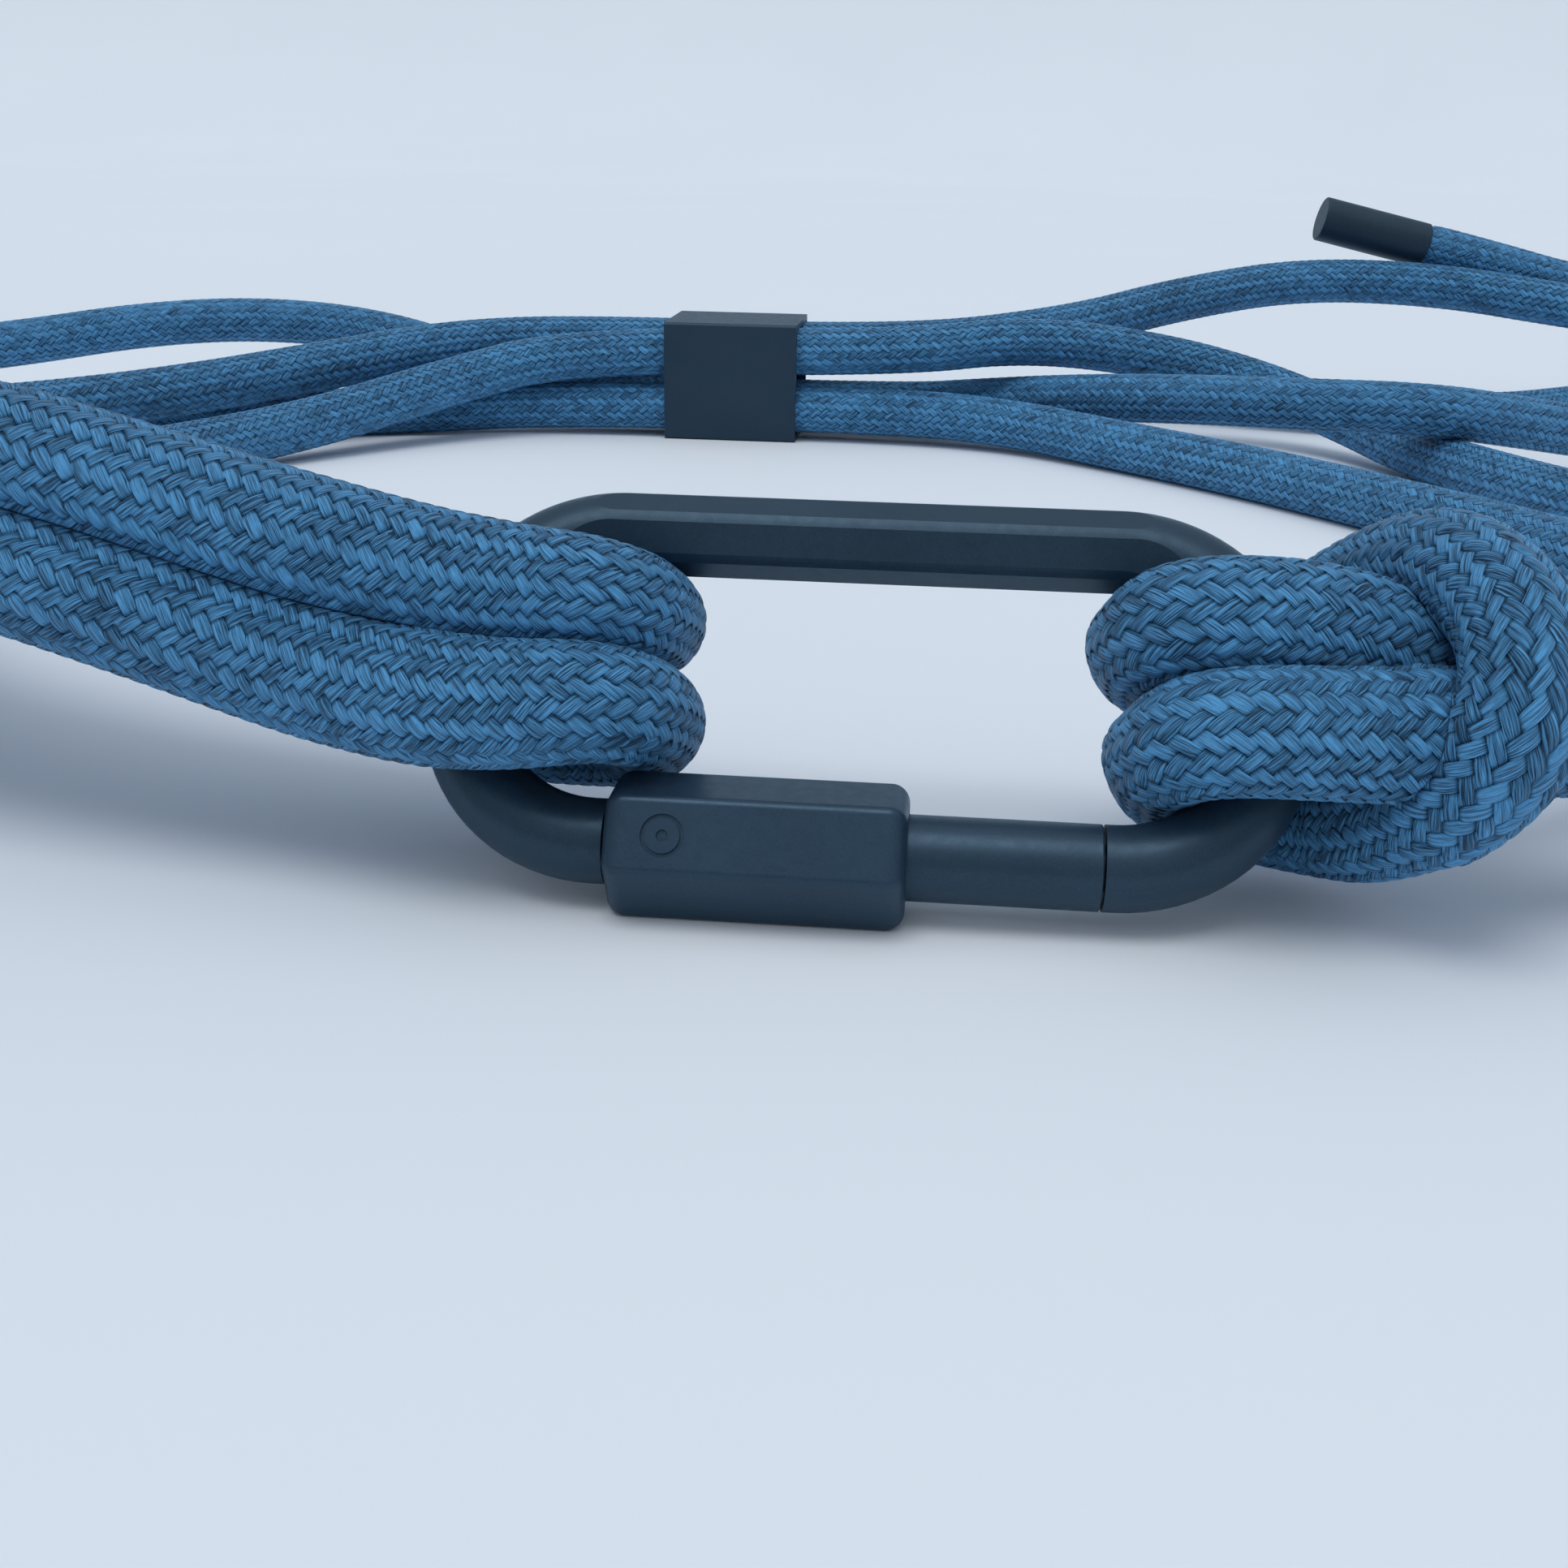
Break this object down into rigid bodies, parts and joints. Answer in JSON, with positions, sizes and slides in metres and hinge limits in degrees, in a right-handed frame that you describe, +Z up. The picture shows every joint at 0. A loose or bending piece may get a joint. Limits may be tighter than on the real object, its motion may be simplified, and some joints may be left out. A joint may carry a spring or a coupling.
{
  "type": "braided cord assembly with screw-lock link",
  "caption": "Doubled round braided cord, girth-hitched to an oval screw-lock link, gathered by a sliding rectangular band, with capped ends.",
  "frame": {"origin": "On the table under the middle of the link, which lies tilted on its screw grip; Z = 0 is the table.", "axes": "X along the link from the grip's captive end to the gate's shoulder, Y towards the slider band and the free ends, Z up."},
  "size_m": [0.564, 0.4006, 0.053],
  "materials": {
    "link_metal": "satin slate blue coating",
    "grip_metal": "satin slate blue coating",
    "band_metal": "satin slate blue coating",
    "ferrule_metal": "satin slate blue coating",
    "seat_metal": "turned",
    "inner_steel": "turned",
    "cord": "silky two-over-two braid"
  },
  "bodies": {
    "link": {"link_frame": "link_metal", "seat_insert": "seat_metal", "thrust_washer": "inner_steel", "retaining_ring": "inner_steel", "guide_pin": "inner_steel", "ferrule_1": "ferrule_metal", "ferrule_2": "ferrule_metal", "cord_tail_1_1": "cord", "cord_tail_1_2": "cord", "cord_tail_1_3": "cord", "cord_left_a_1": "cord", "cord_left_a_2": "cord", "cord_lower_turn": "cord", "cord_left_b_1": "cord", "cord_left_b_2": "cord", "cord_right_a_1": "cord", "cord_right_a_2": "cord", "cord_hitch_1": "cord", "cord_hitch_2": "cord", "cord_right_b_1": "cord", "cord_right_b_2": "cord", "cord_left_c_1": "cord", "cord_left_c_2": "cord", "cord_upper_turn": "cord", "cord_left_d_1": "cord", "cord_left_d_2": "cord", "cord_tail_2_1": "cord", "cord_tail_2_2": "cord", "cord_end_1": "cord", "cord_end_2": "cord"},
    "grip": {"screw_grip": "grip_metal"},
    "gate": {"gate_rod": "link_metal"},
    "band": {"slider_band": "band_metal"}
  },
  "joints": [
    {"name": "grip_spin", "type": "hinge", "parent": "link", "child": "grip", "pos_m": [0, -0.00882, 0.006], "axis": [1, 0, 0], "range_deg": [0, 1140]},
    {"name": "gate_slide", "type": "slide", "parent": "link", "child": "gate", "axis": [-1, 0, 0], "range_m": [0, 0.0095]},
    {"name": "band_slide", "type": "slide", "parent": "link", "child": "band", "axis": [1, 0, 0], "range_m": [-0.008, 0.008]}
  ],
  "couplings": [
    {"joint": "gate_slide", "follows": "grip_spin", "m_per_rad": 0.0004774}
  ]
}
